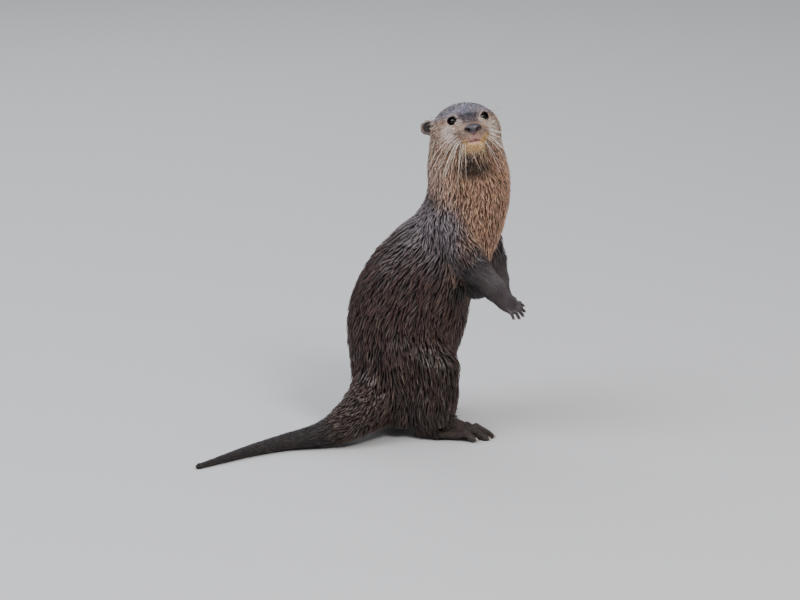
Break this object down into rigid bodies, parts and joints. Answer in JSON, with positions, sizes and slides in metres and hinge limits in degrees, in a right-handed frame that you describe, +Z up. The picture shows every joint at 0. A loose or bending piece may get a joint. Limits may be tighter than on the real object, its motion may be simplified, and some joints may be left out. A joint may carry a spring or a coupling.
{
  "type": "asian small-clawed otter",
  "caption": "Life-size still model of a small-clawed otter standing upright on its hind feet and tail, head turned to its right, wet brown coat.",
  "frame": {"origin": "on the floor, at the middle of the whole model's footprint box", "axes": "+X the way the hips face, +Y towards the otter's left side, +Z up"},
  "size_m": [0.403, 0.2678, 0.4227],
  "materials": {
    "coat": "wet grey-brown fur",
    "throat_coat": "wet warm brown fur",
    "paw": "thinly haired grey-brown skin",
    "nose": "damp dark hide",
    "lip": "cream fur and pink lips",
    "eye": "wet dark brown eye"
  },
  "bodies": {
    "root": {"head": "coat", "ear_left": "coat", "ear_right": "coat", "abdomen": "coat", "hips": "coat", "tail_base": "coat", "tail_middle": "coat", "tail_tip": "coat", "upper_arm_left": "coat", "upper_arm_right": "coat", "forearm_left": "coat", "forearm_right": "coat", "thigh_left": "coat", "thigh_right": "coat", "shank_left": "coat", "shank_right": "coat", "neck": "throat_coat", "chest": "throat_coat", "hand_left": "paw", "hand_right": "paw", "foot_left": "paw", "foot_right": "paw", "nose": "nose", "lower_jaw": "lip", "eye_left": "eye", "eye_right": "eye"}
  },
  "joints": []
}
